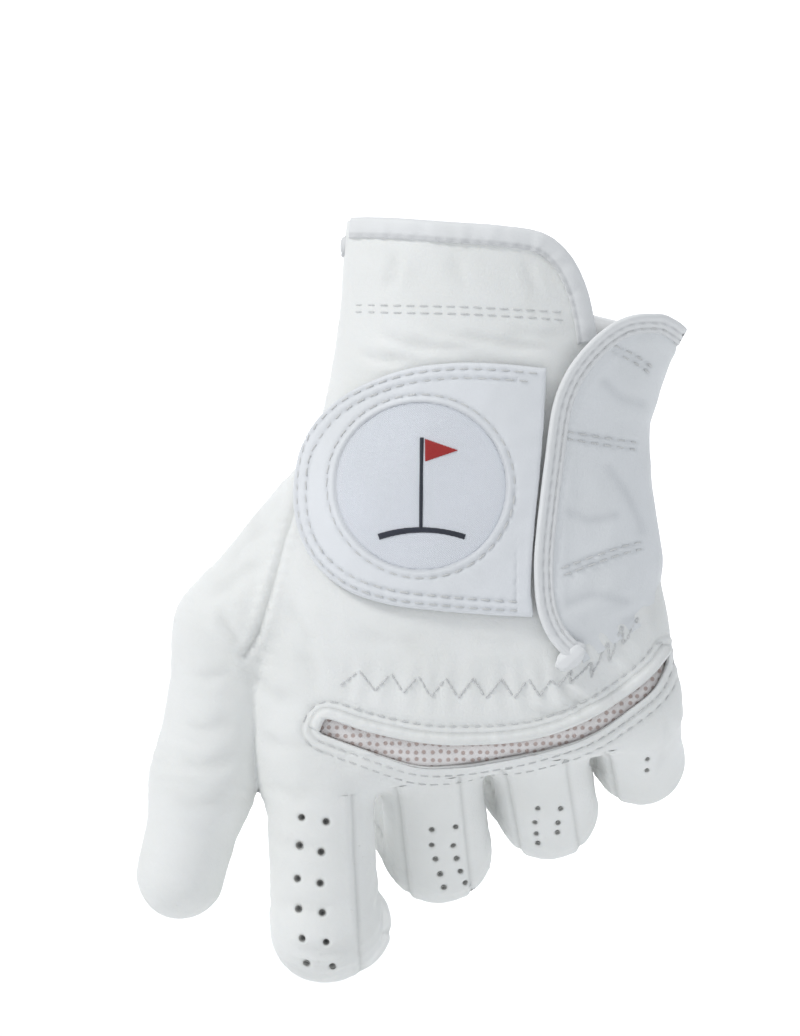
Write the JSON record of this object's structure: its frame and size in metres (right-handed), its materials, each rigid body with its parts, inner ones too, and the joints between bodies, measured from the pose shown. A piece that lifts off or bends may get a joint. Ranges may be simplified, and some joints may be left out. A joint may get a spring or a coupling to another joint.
{
  "type": "golf glove",
  "caption": "Left-hand leather golf glove in the curled shape of a hand round a club, with a wrist slit, hook-and-loop tab, stretch knuckle window and stitched finger stalls.",
  "frame": {"origin": "middle of the wrist opening, where the wearer's hand goes in", "axes": "+Z out of the wrist opening, up the forearm; -Y out of the back of the hand; +X towards the little finger's side of the wrist"},
  "size_m": [0.1115, 0.0807, 0.153],
  "materials": {
    "leather": "soft matt cabretta grain",
    "flap_leather": "smooth synthetic leather",
    "tab_synthetic": "smooth synthetic leather",
    "binding": "turned edge tape",
    "knuckle_mesh": "perforated stretch knit",
    "elastic": "ribbed elastic",
    "lining": "brushed tricot",
    "loop_patch": "napped loop pile",
    "hook_patch": "moulded hook tape",
    "thread": "spun polyester thread",
    "badge_fabric": "fine woven fabric",
    "badge_dark": "satin embroidery",
    "badge_red": "satin embroidery"
  },
  "bodies": {
    "hand": {"back_panel": "leather", "cuff_binding": "binding", "cuff_facing": "lining", "cuff_thread": "thread", "index_knuckle_fold": "leather", "index_middle_fourchette": "leather", "index_stall": "leather", "knuckle_elastic": "elastic", "knuckle_mesh": "knuckle_mesh", "little_knuckle_fold": "leather", "little_stall": "leather", "loop_patch": "loop_patch", "middle_knuckle_fold": "leather", "middle_ring_fourchette": "leather", "middle_stall": "leather", "palm_binding": "binding", "palm_panel": "leather", "ring_knuckle_fold": "leather", "ring_little_fourchette": "leather", "ring_stall": "leather", "thumb_knuckle_fold": "leather", "thumb_stall": "leather", "window_lip": "leather", "wrist_elastic": "elastic", "zigzag_thread": "thread"},
    "index_tip": {"index_tip_stall": "leather", "index_tip_fourchette": "leather"},
    "middle_tip": {"middle_tip_stall": "leather", "middle_tip_fourchette": "leather"},
    "ring_tip": {"ring_tip_stall": "leather", "ring_tip_fourchette": "leather"},
    "little_tip": {"little_tip_stall": "leather", "little_tip_fourchette": "leather"},
    "thumb_tip": {"thumb_tip_stall": "leather"},
    "wrist_flap": {"wrist_flap": "flap_leather", "slit_binding": "binding", "tab_root": "flap_leather", "flap_thread": "thread"},
    "closure_tab": {"closure_tab": "tab_synthetic", "tab_lining": "lining", "hook_patch": "hook_patch", "badge_disc": "badge_fabric", "badge_motif": "badge_dark", "badge_pennant": "badge_red", "tab_thread": "thread", "badge_thread": "thread"}
  },
  "joints": [
    {"name": "index_bend", "type": "hinge", "parent": "hand", "child": "index_tip", "pos_m": [-0.0288, 0.002, -0.1392], "axis": [0.9915, -0.1229, 0.0435], "range_deg": [-50, 5], "deforming": ["index_knuckle_fold"]},
    {"name": "middle_bend", "type": "hinge", "parent": "hand", "child": "middle_tip", "pos_m": [-0.006, 0.027, -0.1258], "axis": [0.9022, 0.2387, 0.3592], "range_deg": [-50, 15], "deforming": ["middle_knuckle_fold"]},
    {"name": "ring_bend", "type": "hinge", "parent": "hand", "child": "ring_tip", "pos_m": [0.0166, 0.0275, -0.1174], "axis": [0.8827, 0.1758, 0.4357], "range_deg": [-50, 10], "deforming": ["ring_knuckle_fold"]},
    {"name": "little_bend", "type": "hinge", "parent": "hand", "child": "little_tip", "pos_m": [0.0356, 0.025, -0.1072], "axis": [0.8645, 0.16, 0.4765], "range_deg": [-50, 15], "deforming": ["little_knuckle_fold"]},
    {"name": "thumb_bend", "type": "hinge", "parent": "hand", "child": "thumb_tip", "pos_m": [-0.0534, 0.005, -0.11], "axis": [0, 1, 0], "range_deg": [-20, 20], "deforming": ["thumb_knuckle_fold"]},
    {"name": "flap_hinge", "type": "hinge", "parent": "hand", "child": "wrist_flap", "pos_m": [0.0336, -0.007, -0.048], "axis": [0.0397, 0.1063, 0.9935], "range_deg": [0, 40]},
    {"name": "tab_hinge", "type": "hinge", "parent": "wrist_flap", "child": "closure_tab", "pos_m": [0.012, -0.0203, -0.05], "axis": [0.0578, -0.0499, 0.9971], "range_deg": [0, 90]}
  ]
}
